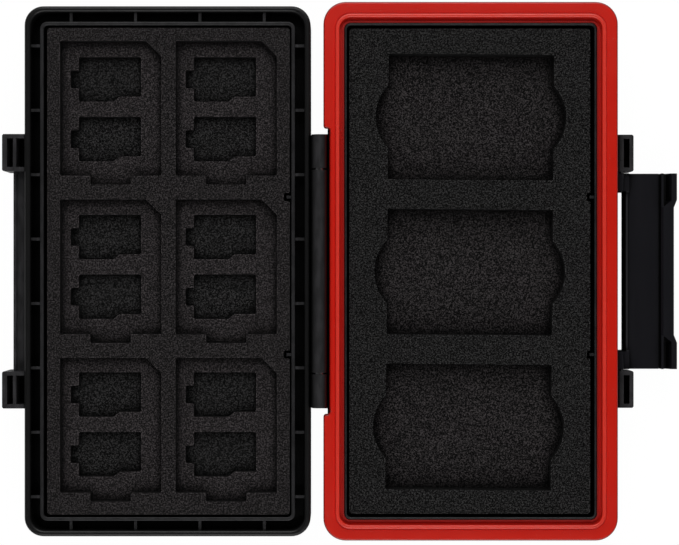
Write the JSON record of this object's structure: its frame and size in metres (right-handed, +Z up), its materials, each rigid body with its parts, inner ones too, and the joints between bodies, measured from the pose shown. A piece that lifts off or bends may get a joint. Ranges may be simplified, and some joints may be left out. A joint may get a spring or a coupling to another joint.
{
  "type": "memory card case",
  "caption": "Hinged hard case for memory cards, lying open flat, with die-cut foam pockets, a rubber rim seal and a swinging edge latch.",
  "frame": {"origin": "middle of the open case's outline, on the plane that both halves rest on", "axes": "+X across the hinge from the lid to the base and the latch, +Y along the hinge, +Z up out of the open halves"},
  "size_m": [0.1634, 0.1298, 0.0143],
  "materials": {
    "shell_plastic": "matte",
    "latch_plastic": "satin",
    "seal_rubber": "satin",
    "lid_foam": "matte",
    "base_foam": "matte",
    "adhesive": "matte",
    "pin_steel": "satin",
    "pin_black": "satin"
  },
  "bodies": {
    "base": {"base_shell": "shell_plastic", "rim_gasket": "seal_rubber", "base_foam_pockets": "base_foam", "base_foam_backing": "base_foam", "base_adhesive_sheet": "adhesive", "hinge_pin": "pin_steel", "latch_pins": "pin_black"},
    "lid": {"lid_shell": "shell_plastic", "lid_foam_card_pockets": "lid_foam", "lid_foam_small_pockets": "lid_foam", "lid_foam_backing": "lid_foam", "lid_adhesive_sheet": "adhesive"},
    "latch": {"latch": "latch_plastic"}
  },
  "joints": [
    {"name": "lid_hinge", "type": "hinge", "parent": "base", "child": "lid", "pos_m": [-0.0053, 0, 0.0125], "axis": [0, 1, 0], "range_deg": [0, 180]},
    {"name": "latch_pivot", "type": "hinge", "parent": "base", "child": "latch", "pos_m": [0.06755, 0, 0.0082], "axis": [0, -1, 0], "range_deg": [0, 90]}
  ]
}
